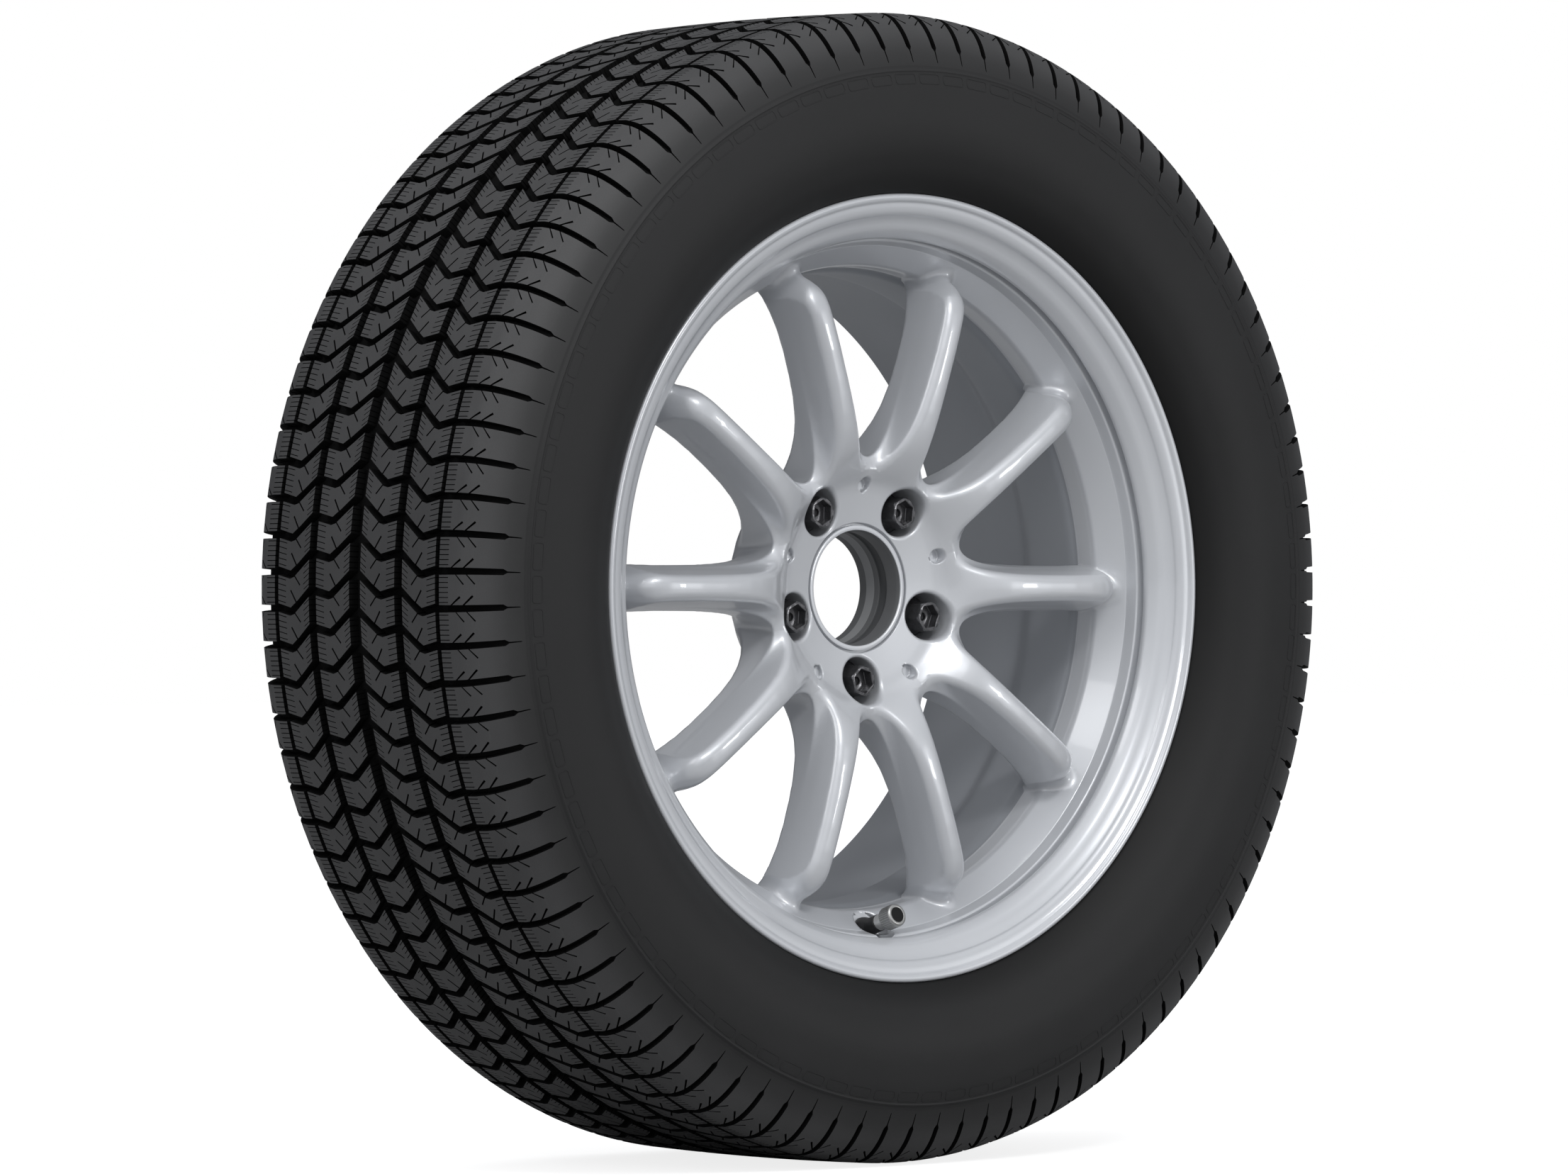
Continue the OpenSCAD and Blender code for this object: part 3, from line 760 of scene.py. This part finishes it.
def build_pitch():
    """Points (v, c, depth) and triangles of half a pitch: block tops, walls and groove floors."""
    P3, tris = [], []
    bottoms = []
    draft = 0.55
    vlines = [v for v in np.arange(80.5, 140, 3.1) if v < V_MAX - 0.5]
    stops = [0, 80, arc_at(rho=339.5), arc_at(rho=330), arc_at(rho=323), V_KNEE + 2.4, V_END, 400]
    depth_at = lambda v: float(np.interp(v, stops, [DEPTH, DEPTH, 5.6, 4.2, 2.6, 1.2, 0.35, 0.35]))
    for which, (poly, flags) in enumerate(blocks + [shoulder()]):
        n = len(poly)
        poly = [np.asarray(p, float) for p in poly]
        area = sum(poly[i][0] * poly[(i + 1) % n][1] - poly[(i + 1) % n][0] * poly[i][1] for i in range(n))
        sgn = 1 if area > 0 else -1
        pts_ = list(poly)
        edges = [(i, (i + 1) % n) for i in range(n)]
        if which == 2:
            for v in vlines:
                pts_ += [np.array([v, mid_gap - P - 1]), np.array([v, mid_gap + 1])]
                edges.append((len(pts_) - 2, len(pts_) - 1))
        vs, es, fs, oe = cdt(pts_, edges)
        keep = [f for f in fs if inside(poly, vs[f].mean(0))]
        used = {}
        base = len(P3)
        for f in keep:
            for i in f:
                if i not in used:
                    used[i] = base + len(used)
                    P3.append((vs[i][0], vs[i][1], 0.0))
        for f in keep:
            a = [used[i] for i in f]
            ar = sum(vs[f[i]][0] * vs[f[(i + 1) % len(f)]][1] - vs[f[(i + 1) % len(f)]][0] * vs[f[i]][1] for i in range(len(f)))
            tris.append(a if ar > 0 else a[::-1])
        # outline edges after the cdt, in order round the block
        emap = {}
        for k, e in enumerate(es):
            for o in oe[k]:
                if o < n:
                    emap.setdefault(o, []).append(e)
        chain = []          # (vertex, input edge)
        for i in range(n):
            p, q = poly[i], poly[(i + 1) % n]
            segs = emap.get(i, [])
            d = (q - p) / max(np.linalg.norm(q - p), 1e-9)
            ends = sorted({int(x) for e in segs for x in e}, key=lambda x: float(np.dot(vs[x] - p, d)))
            for a, b in zip(ends[:-1], ends[1:]):
                chain.append((a, b, i))
        # outward normals of the outer edges
        shift = {}
        for a, b, i in chain:
            f = flags[i]
            if f:
                d = (poly[(i + 1) % n] - poly[i])
                d /= max(np.linalg.norm(d), 1e-9)
                nn = np.array([d[1], -d[0]]) * sgn
                for x in (a, b):
                    shift.setdefault(x, []).append(nn)
        low = {}
        loop = []
        for a, b, i in chain:
            for x in (a, b):
                if x in low:
                    continue
                p = vs[x].copy()
                wall = flags[i] is not None or x in shift
                s = shift.get(x)
                dep = depth_at(p[0])
                if s:
                    m = np.mean(s, axis=0)
                    m /= max(np.dot(m, m), 0.35)
                    p = p + m * draft * dep / DEPTH
                low[x] = (p, dep)
        # walls
        lowidx = {}
        for a, b, i in chain:
            if flags[i] is None:
                continue
            for x in (a, b):
                if x not in lowidx:
                    lowidx[x] = len(P3)
                    P3.append((low[x][0][0], low[x][0][1], low[x][1]))
            q4 = [used[a], used[b], lowidx[b], lowidx[a]]
            tris.append(q4[::-1] if sgn > 0 else q4)
            loop.append((lowidx[a], lowidx[b]))
        bottoms.append((loop, [P3[k][:2] for k, _ in []], poly, flags, low, chain))
    # floor
    br = border()
    pts_, edges, depths, owner = [], [], [], []

    def put(p, dep, own=None):
        pts_.append(np.array(p[:2], float))
        depths.append(dep)
        owner.append(own)
        return len(pts_) - 1

    lo_i = [put(p, depth_at(p[0])) for p in br]
    hi_i = [put(p - np.array([0, P]), depth_at(p[0])) for p in br]
    edges += list(zip(lo_i[:-1], lo_i[1:])) + list(zip(hi_i[:-1], hi_i[1:]))
    edges.append((lo_i[0], hi_i[0]))
    loops2d = []
    for loop, _, poly, flags, low, chain in bottoms:
        m = {}
        for a, b in loop:
            for x in (a, b):
                if x not in m:
                    m[x] = put(P3[x], P3[x][2], x)
            edges.append((m[a], m[b]))
        loops2d.append([P3[a][:2] for a, b in loop])
    # the shoulder's bottom outline is open at the sidewall: close it for the inside test
    dom = [p for p in br] + [p - np.array([0, P]) for p in reversed(br)]
    vs, es, fs, oe = cdt(pts_, edges)
    # the cdt's vertices keep their depth from the nearest given point, or from the depth rule
    given = np.array(pts_)
    base = {}
    sh = loops2d[2]
    sh_poly = sh + [(V_MAX + 5, sh[-1][1]), (V_MAX + 5, sh[0][1])] if False else None
    for f in fs:
        c = vs[f].mean(0)
        if not inside(dom, c):
            continue
        if inside(loops2d[0], c) or inside(loops2d[1], c):
            continue
        if in_shoulder(sh, c):
            continue
        face_ = []
        for i in f:
            if i not in base:
                d2 = ((given - vs[i]) ** 2).sum(1)
                k = int(d2.argmin())
                if d2[k] < 1e-7 and owner[k] is not None:
                    base[i] = owner[k]
                else:
                    base[i] = len(P3)
                    P3.append((vs[i][0], vs[i][1], depths[k] if d2[k] < 1e-7 else depth_at(vs[i][0])))
            face_.append(base[i])
        ar = sum(vs[f[i]][0] * vs[f[(i + 1) % len(f)]][1] - vs[f[(i + 1) % len(f)]][0] * vs[f[i]][1] for i in range(len(f)))
        tris.append(face_ if ar > 0 else face_[::-1])
    return np.array(P3), tris


def in_shoulder(loop, c):
    """Inside the shoulder block's bottom outline, whose two open ends lie at the groove's end."""
    poly = list(loop)
    ys = [p[1] for p in poly]
    # the chain starts at the block's inner corner, runs to the lower groove end and comes back from the upper one
    k = max(range(len(poly) - 1), key=lambda i: abs(poly[i + 1][1] - poly[i][1]))
    a, b = poly[k], poly[k + 1]
    closed = poly[:k + 1] + [(V_MAX + 6, a[1]), (V_MAX + 6, b[1])] + poly[k + 1:]
    return inside(closed, c)


P3, tris = build_pitch()
print("half pitch faces", len(tris), "tris", sum(len(f) - 2 for f in tris))
tri = []
for f in tris:
    for k in range(1, len(f) - 1):
        tri.append((f[0], f[k], f[k + 1]))
tri = np.array(tri)
cyl = place(P3[:, 0], P3[:, 1], P3[:, 2])
n = len(cyl)
# faces below the block tops: these take the groove's painted shade
low_face = (P3[tri][:, :, 2] > 0.01).any(1)


def tread_half(name, side):
    """One half of the tread, all its pitches; walls and groove floors take a darker copy of the rubber as painted
    shade.
    """
    allp, allf = [], []
    for k in range(PITCHES):
        # layout y runs with the angle
        a = cyl[:, 2] + k * TAU / PITCHES + math.radians(158.3)
        allf.append((tri if side > 0 else tri[:, ::-1]) + k * n)
        allp.append(np.stack([cyl[:, 0] * np.cos(a), cyl[:, 0] * np.sin(a), cyl[:, 1] * side], 1))
    pts = np.vstack(allp)
    f = np.vstack(allf)
    dark = np.tile(low_face, PITCHES)
    key = np.round(pts * 200).astype(np.int64)
    _, first, inv = np.unique(key, axis=0, return_index=True, return_inverse=True)
    f = inv.reshape(-1)[f]
    pts = pts[first]
    ok = (f[:, 0] != f[:, 1]) & (f[:, 1] != f[:, 2]) & (f[:, 0] != f[:, 2])
    f, dark = f[ok], dark[ok]
    _, first = np.unique(np.sort(f, axis=1), axis=0, return_index=True)
    first = np.sort(first)
    f, dark = f[first], dark[first]
    rad = np.stack([pts[:, 0], pts[:, 1], np.zeros(len(pts))], 1)
    nn = np.cross(pts[f[:, 1]] - pts[f[:, 0]], pts[f[:, 2]] - pts[f[:, 0]])
    if np.sum(np.einsum("ij,ij->i", nn, rad[f[:, 0]])) < 0:
        f = f[:, ::-1]
    ob_ = make_mesh(name, to_world(pts), f, sharp=32, slots=dark.astype(int))
    print(name, "tris", len(f), "polygons kept", len(ob_.data.polygons))
    dress(ob_, M_TREAD, M_GROOVE_SHADE)
    return ob_


tread_out = tread_half("tyre_tread_outboard", 1)
tread_in = tread_half("tyre_tread_inboard", -1)

# carcass: sidewalls, beads and inner liner
r_max, u_max = float(np.interp(V_MAX, arc, outer[:, 0])), float(np.interp(V_MAX, arc, outer[:, 1]))
side_out = spline([(r_max, u_max), (310.2, 113.7), (309.3, 114.15), (309.0, 114.65), (308.3, 114.95), (307.7, 114.7), (307.2, 114.75), (304, 115.8), (298, 117.2), (287, 118.6),
                   (278, 119), (269, 118), (260, 115.6), (252, 111.6), (245, 107), (240.4, 103), (237.6, 100.2), (236.2, 98.6)], 1.9)
bead = [(226.3 + 9.65 * math.cos(math.radians(6.3 + 16.74 * k)), 98.4 - 9.65 * math.sin(math.radians(6.3 + 16.74 * k))) for k in range(1, 5)]
side_in = spline([(226.3, 88.75), (221.4, 88.75), (219.5, 87.9), (218.45, 85.7), (217.05, 68.6), (217.5, 67.2),
                  (220.5, 66.6), (225, 70), (232, 79), (240, 89), (250, 98.6), (262, 105.8), (274, 109.4), (286, 109.8), (298, 107.6),
                  (310, 103.4), (320, 98), (327, 91.6), (331, 83), (332.6, 72), (333.2, 50), (333.6, 0)], 5.0)
side_out[:, 1] = np.minimum(side_out[:, 1], 118.97)
half = np.vstack([side_out, bead, side_in])
prof = np.vstack([half, half[::-1][1:] * np.array([1, -1])])
pts, quads = revolve(prof, 300, closed=False)
# the open strip is closed by the tread; choose its side so that the sidewall's normal looks outboard
q = quads[:len(prof) - 1]
e1 = pts[q[10, 1]] - pts[q[10, 0]]
e2 = pts[q[10, 3]] - pts[q[10, 0]]
if np.cross(e1, e2)[2] < 0:
    quads = quads[:, ::-1]
carcass = make_mesh("tyre_carcass", to_world(pts), quads, sharp=40)
dress(carcass, M_SIDE)


def side_u(rho):
    """The sidewall's distance from the mid-plane at a radius."""
    k = np.argsort(side_out[:, 0])
    return np.interp(rho, side_out[k, 0], side_out[k, 1])


def pad_rings():
    """Thin raised outlines below the shoulder line, one a pitch on each side: rounded rectangles with a ridged section."""
    path = []
    hw, r0, r1, rc = 0.41 * P, 300.6, 306.4, 1.6
    for cx, cr, a0 in ((hw - rc, r1 - rc, 0), (-hw + rc, r1 - rc, 90), (-hw + rc, r0 + rc, 180), (hw - rc, r0 + rc, 270)):
        for k in range(4):
            a = math.radians(a0 + 30 * k)
            path.append((cr + rc * math.sin(a), cx + rc * math.cos(a)))
    path = np.array(path)                      # (radius, distance round the tyre at the tread)
    m = len(path)
    tan = np.roll(path, -1, axis=0) - np.roll(path, 1, axis=0)
    tan /= np.linalg.norm(tan, axis=1)[:, None]
    nrm2 = np.stack([tan[:, 1], -tan[:, 0]], 1)
    section = [(-0.42, -0.25), (-0.18, 0.22), (0.18, 0.22), (0.42, -0.25)]
    ring = []
    for off, h in section:
        q = path + nrm2 * off
        ring.append(np.stack([q[:, 0], q[:, 1] / TR, side_u(q[:, 0]) + h], 1))
    ring = np.stack(ring, 1).reshape(-1, 3)    # 4 points for each place on the path
    faces = []
    for i in range(m):
        j = (i + 1) % m
        for c_ in range(3):
            faces.append((i * 4 + c_, j * 4 + c_, j * 4 + c_ + 1, i * 4 + c_ + 1))
    faces = np.array(faces)
    allp, allf = [], []
    for side in (1, -1):
        for k in range(PITCHES):
            a = ring[:, 1] + (k + 0.5) * TAU / PITCHES + math.radians(158.3) + mid_gap / TR
            allf.append((faces if side > 0 else faces[:, ::-1]) + len(allp) * len(ring))
            allp.append(np.stack([ring[:, 0] * np.cos(a), ring[:, 0] * np.sin(a), ring[:, 2] * side], 1))
    pts, f = np.vstack(allp), np.vstack(allf)
    q = f[1]                                   # a ridge's crest on the outboard side has to look outboard
    if np.cross(pts[q[1]] - pts[q[0]], pts[q[3]] - pts[q[0]])[2] < 0:
        f = f[:, ::-1]
    ob_ = make_mesh("tyre_shoulder_outlines", to_world(pts), f, sharp=40)
    dress(ob_, M_SIDE)
    return ob_


pads = pad_rings()
for ob in (tread_out, tread_in, carcass, pads):
    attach(ob, "wheel")
    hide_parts("tyre")

# ------------------------------------------------------------------ wheel bolts
BOLT_TURN = [30, 22, 8, 14, 26]


def lathe(rows, n, name, place_fn, sharp):
    """A closed surface from rows of (height, radii round the axis), bottom pole first."""
    ang = np.arange(n) * TAU / n
    rad_ = np.array([np.broadcast_to(r, (n,)) for _, r in rows])
    hgt = np.array([h for h, _ in rows])
    x, y = rad_ * np.cos(ang), rad_ * np.sin(ang)
    z = np.broadcast_to(hgt[:, None], x.shape)
    pts = place_fn(np.stack([x, y, z], -1).reshape(-1, 3))
    m = len(rows)
    i, j = np.meshgrid(np.arange(m - 1), np.arange(n), indexing="ij")
    j2 = (j + 1) % n
    quads = np.stack([i * n + j, i * n + j2, (i + 1) * n + j2, (i + 1) * n + j], -1).reshape(-1, 4)
    return make_mesh(name, to_world(pts), quads, sharp=sharp)


NB = 72
bang = np.arange(NB) * TAU / NB
hexa = 1 / np.cos(bang % math.radians(60) - math.radians(30))
outer_hex = np.minimum(8.5 * hexa, 9.62)
inner_hex = 6.5 * hexa
rows = [(4.0, 0.02), (4.0, 5.7), (4.15, 6.0)]
for h in np.arange(4.4, 14.05, 0.25):
    ph = (h / 1.5 - bang / TAU) % 1
    crest = 6.25 + 0.75 * np.clip(1.25 - 2.5 * np.abs(ph - 0.5), 0, 1)
    rows.append((h, np.minimum(crest, 6.0 + (h - 4.0) * 0.85)))
rows += [(14.4, 6.5), (24.6, 6.5), (25.0, 7.04)]
rows += [(h, math.sqrt(196 - (37.1 - h) ** 2)) for h in np.arange(26, 31.9, 1.0)]
rows += [(31.95, 13.0), (34.1, 13.0), (34.4, 12.8), (34.6, 12.6), (38.1, 12.6), (38.5, 12.45), (38.9, 12.1), (39.3, 11.5)]
for h in np.arange(39.7, 46.4, 0.35):
    rows.append((h, np.maximum(11.3 - (h - 39.7) * 0.5, outer_hex)))
rows += [(50.0, outer_hex), (54.6, outer_hex)]
for h in np.arange(54.8, 56.01, 0.2):
    rows.append((h, np.minimum(outer_hex, 9.75 - (h - 54.8) * 0.8)))
rows += [(56.1, np.full(NB, 8.55)), (56.1, inner_hex + 0.42), (55.95, inner_hex + 0.2), (55.6, inner_hex), (52.5, inner_hex), (49.85, inner_hex),
         (49.6, inner_hex - 0.25), (49.6, 2.9), (49.45, 2.5), (47.5, 2.3), (47.2, 2.0), (47.2, 0.02)]
for k in range(5):
    bt, ba = math.radians(BOLT_TURN[k]), BOLT_AZ[k]

    def at_bolt(p, bt=bt, ba=ba):
        x = p[:, 0] * math.cos(bt) - p[:, 1] * math.sin(bt) + 56.0
        y = p[:, 0] * math.sin(bt) + p[:, 1] * math.cos(bt)
        return np.stack([x * math.cos(ba) - y * math.sin(ba), x * math.sin(ba) + y * math.cos(ba), p[:, 2]], 1)

    ob = lathe(rows, NB, f"bolt_{k + 1}", at_bolt, 28)
    dress(ob, M_BOLT)
    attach(ob, "wheel")
    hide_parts(f"wheel_bolt_{k + 1}")

# ------------------------------------------------------------------ knurled valve cap
NC = 216
cang = np.arange(NC) * TAU / NC
ridge = 0.30 * (0.5 - 0.5 * np.cos(36 * cang)) ** 0.8
cap_rows = [(30.85, 0.02), (30.85, 3.93)]
for h in np.arange(30.6, 23.2, -0.4):
    cap_rows.append((h, 3.93 - 0.12 * (0.5 - 0.5 * math.cos(TAU * h / 0.8))))
cap_rows += [(22.9, 3.95), (22.5, 4.3), (22.42, 4.6), (22.42, 6.2), (22.5, 6.5), (22.8, 6.8), (23.0, 6.95)]
cap_rows += [(23.3, 7.1 - ridge * 0.5), (23.6, 7.1 - ridge), (27.0, 7.1 - ridge), (30.8, 7.1 - ridge), (31.1, 7.08 - ridge * 0.6), (31.4, 6.93 - ridge * 0.25)]
cap_rows += [(31.75, 6.75), (32.1, 6.4), (32.32, 5.95), (32.4, 5.5), (32.4, 4.85), (32.33, 4.72), (32.2, 4.7), (31.6, 4.7), (31.6, 0.02)]
cap_rows = [(h, np.broadcast_to(np.asarray(r, float), (NC,))) for h, r in cap_rows]


def at_valve(p):
    return np.stack([p[:, 0], -205.7 + p[:, 1] * ca + p[:, 2] * sa, 55.5 + p[:, 2] * ca - p[:, 1] * sa], 1)


cap = lathe(cap_rows, NC, "knurled_cap", at_valve, 35)
dress(cap, M_CAP)
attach(cap, "cap")
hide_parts("valve_cap")

# ------------------------------------------------------------------ carried-over nodes
for n_, m_ in (("valve_body", M_VALVE_RUBBER), ("valve_stem", M_STEM), ("valve_core_body", M_BRASS), ("valve_core_pin", M_BRASS),
               ("valve_core_seal", M_VALVE_RUBBER), ("valve_cap", M_CAP), ("valve_cap_disc", M_DISC), ("valve_cap_seal", M_VALVE_RUBBER)):
    dress(nodes[n_], m_)

# ------------------------------------------------------------------ floor, light, camera
fm, fnt, fbs = new_mat("floor_white")
fbs.inputs["Base Color"].default_value = (0.44, 0.44, 0.44, 1)
fbs.inputs["Roughness"].default_value = 0.9
fbs.inputs["Specular IOR Level"].default_value = 0.1
# the eye sees a bright paper floor; the object is lit by a greyer one
f_out = [n_ for n_ in fnt.nodes if n_.bl_idname == "ShaderNodeOutputMaterial"][0]
f_em = fnt.nodes.new("ShaderNodeEmission")
f_em.inputs[0].default_value = (1, 1, 1, 1)
f_lp = fnt.nodes.new("ShaderNodeLightPath")
fnt.links.new(math_node(fnt, "MULTIPLY", f_lp.outputs["Is Camera Ray"], 0.82), f_em.inputs[1])
f_add = fnt.nodes.new("ShaderNodeAddShader")
fnt.links.new(fbs.outputs[0], f_add.inputs[0])
fnt.links.new(f_em.outputs[0], f_add.inputs[1])
fnt.links.new(f_add.outputs[0], f_out.inputs[0])
fp = np.array([(-14, -14, -0.3457), (16, -14, -0.3457), (16, 16, -0.3457), (-14, 16, -0.3457)])
floor = make_mesh("floor", fp, [(0, 1, 2, 3)])
dress(floor, fm)

scene = bpy.context.scene
scene.view_settings.view_transform = "Standard"
world = bpy.data.worlds.new("studio")
scene.world = world
world.use_nodes = True
wn = world.node_tree
for n_ in list(wn.nodes):
    wn.nodes.remove(n_)
wo = wn.nodes.new("ShaderNodeOutputWorld")
bg_cam = wn.nodes.new("ShaderNodeBackground")
bg_cam.inputs[0].default_value = (1, 1, 1, 1)
bg_cam.inputs[1].default_value = 1.0
bg_light = wn.nodes.new("ShaderNodeBackground")
tc = wn.nodes.new("ShaderNodeTexCoord")
dot = wn.nodes.new("ShaderNodeVectorMath")
dot.operation = "DOT_PRODUCT"
wn.links.new(tc.outputs["Generated"], dot.inputs[0])
dot.inputs[1].default_value = Vector((-0.34, -0.62, 0.71)).normalized()
mr = wn.nodes.new("ShaderNodeMapRange")
mr.inputs[1].default_value = -1.0
mr.inputs[2].default_value = 1.0
wn.links.new(dot.outputs["Value"], mr.inputs[0])
wr = wn.nodes.new("ShaderNodeValToRGB")
el = wr.color_ramp.elements
el.new(0.5)
el.new(0.75)
for e_, (p_, c_) in zip(el, [(0.0, (0.09, 0.092, 0.10)), (0.42, (0.16, 0.163, 0.172)), (0.72, (0.52, 0.53, 0.55)), (1.0, (0.92, 0.93, 0.95))]):
    e_.position = p_
    e_.color = (*c_, 1)
wn.links.new(mr.outputs[0], wr.inputs[0])
wn.links.new(wr.outputs[0], bg_light.inputs[0])
bg_light.inputs[1].default_value = 1.14
lp = wn.nodes.new("ShaderNodeLightPath")
mixw = wn.nodes.new("ShaderNodeMixShader")
wn.links.new(lp.outputs["Is Camera Ray"], mixw.inputs[0])
wn.links.new(bg_light.outputs[0], mixw.inputs[1])
wn.links.new(bg_cam.outputs[0], mixw.inputs[2])
wn.links.new(mixw.outputs[0], wo.inputs[0])


def area(name, loc, target, size, power, size_y=None):
    l = bpy.data.lights.new(name, "AREA")
    l.energy = power
    l.shape = "RECTANGLE"
    l.size = size
    l.size_y = size_y or size
    o = bpy.data.objects.new(name, l)
    o.location = loc
    d = Vector(target) - Vector(loc)
    o.rotation_mode = "QUATERNION"
    o.rotation_quaternion = d.to_track_quat("-Z", "Y")
    scene.collection.objects.link(o)
    return o


area("key", (-0.9, -3.0, 2.7), (0, 0, 0), 1.0, 42, 0.6)
area("front_right", (1.8, -3.0, 0.3), (0, 0, 0), 0.45, 10)
area("left_fill", (-3.6, -1.4, 2.8), (0, 0, 0), 1.6, 22, 1.6)
area("top_left", (-1.7, 0.7, 3.0), (0, 0, 0.2), 1.2, 16)

cam_data = bpy.data.cameras.new("camera")
cam = bpy.data.objects.new("camera", cam_data)
scene.collection.objects.link(cam)
cam_data.sensor_width = 36
cam_data.lens = 192.0
cam_data.clip_start = 0.1
cam_data.clip_end = 100
cam.location = (-3.3475, -3.8134, 0.0)
cam.rotation_mode = "QUATERNION"
cam.rotation_quaternion = Vector((0.65804, 0.75298, 0.0)).to_track_quat("-Z", "Y")
scene.camera = cam
